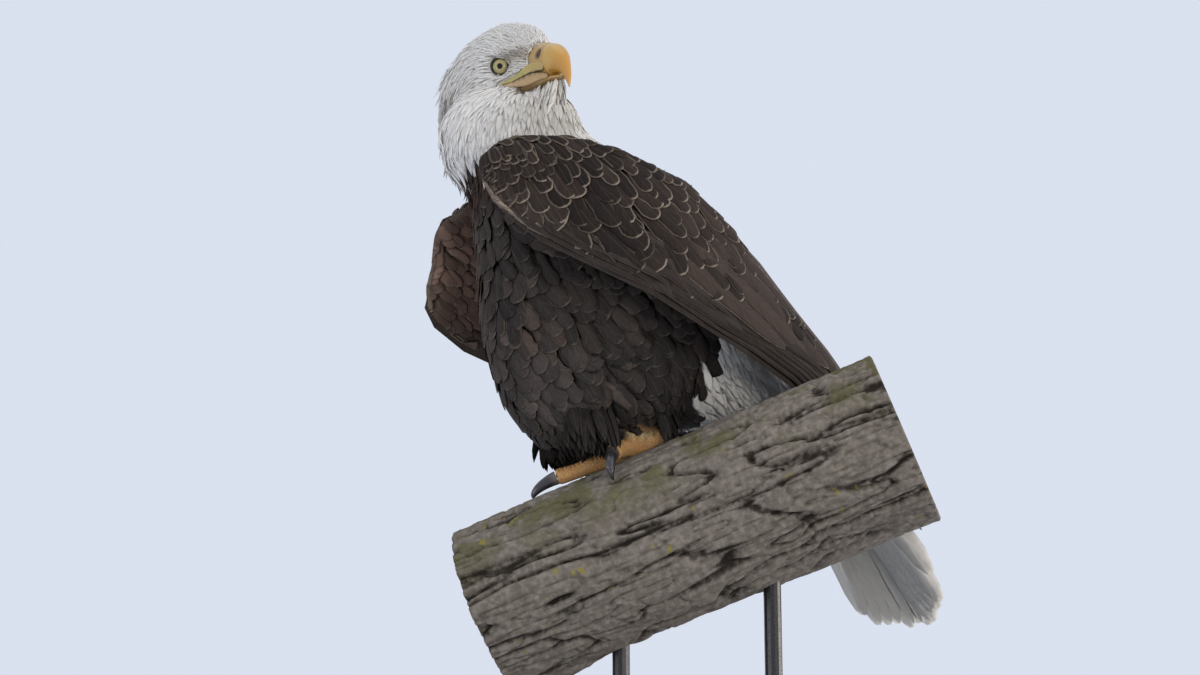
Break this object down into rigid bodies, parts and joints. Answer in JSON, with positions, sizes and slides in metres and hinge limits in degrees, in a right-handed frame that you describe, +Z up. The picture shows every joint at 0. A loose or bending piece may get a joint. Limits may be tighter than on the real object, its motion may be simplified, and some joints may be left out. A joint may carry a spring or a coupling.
{
  "type": "bald eagle model",
  "caption": "Life-size adult bald eagle, wings folded, head turned over its left shoulder, perched on a cut branch held by two rods on a flat base.",
  "frame": {"origin": "middle of the underside of the stand's base", "axes": "+Z up; the bird's body faces -Y and its left side is towards +X"},
  "size_m": [0.44, 0.5038, 0.9238],
  "materials": {
    "board": "dark stained board, satin",
    "steel": "black painted steel rod",
    "bark": "deeply furrowed grey-brown bark",
    "brown_plumage": "blackish brown feathers with paler edges",
    "white_plumage": "white feathers",
    "scaly_skin": "yellow scaly skin",
    "claw_horn": "black polished horn",
    "bill_horn": "yellow horn",
    "cere_skin": "smooth yellow-green skin",
    "eye": "wet pale yellow eye with a black pupil"
  },
  "bodies": {
    "root": {"stand_base": "board", "stand_rod_front": "steel", "stand_rod_back": "steel", "perch_branch": "bark", "trunk": "brown_plumage", "neck": "white_plumage", "head": "white_plumage", "tail": "white_plumage", "wing_left": "brown_plumage", "wing_right": "brown_plumage", "thigh_left": "brown_plumage", "thigh_right": "brown_plumage", "foot_left": "scaly_skin", "foot_right": "scaly_skin", "claw_left_1": "claw_horn", "claw_left_2": "claw_horn", "claw_left_3": "claw_horn", "claw_left_4": "claw_horn", "claw_right_1": "claw_horn", "claw_right_2": "claw_horn", "claw_right_3": "claw_horn", "claw_right_4": "claw_horn", "bill_upper": "bill_horn", "bill_lower": "bill_horn", "cere": "cere_skin", "eye_left": "eye", "eye_right": "eye"}
  },
  "joints": []
}
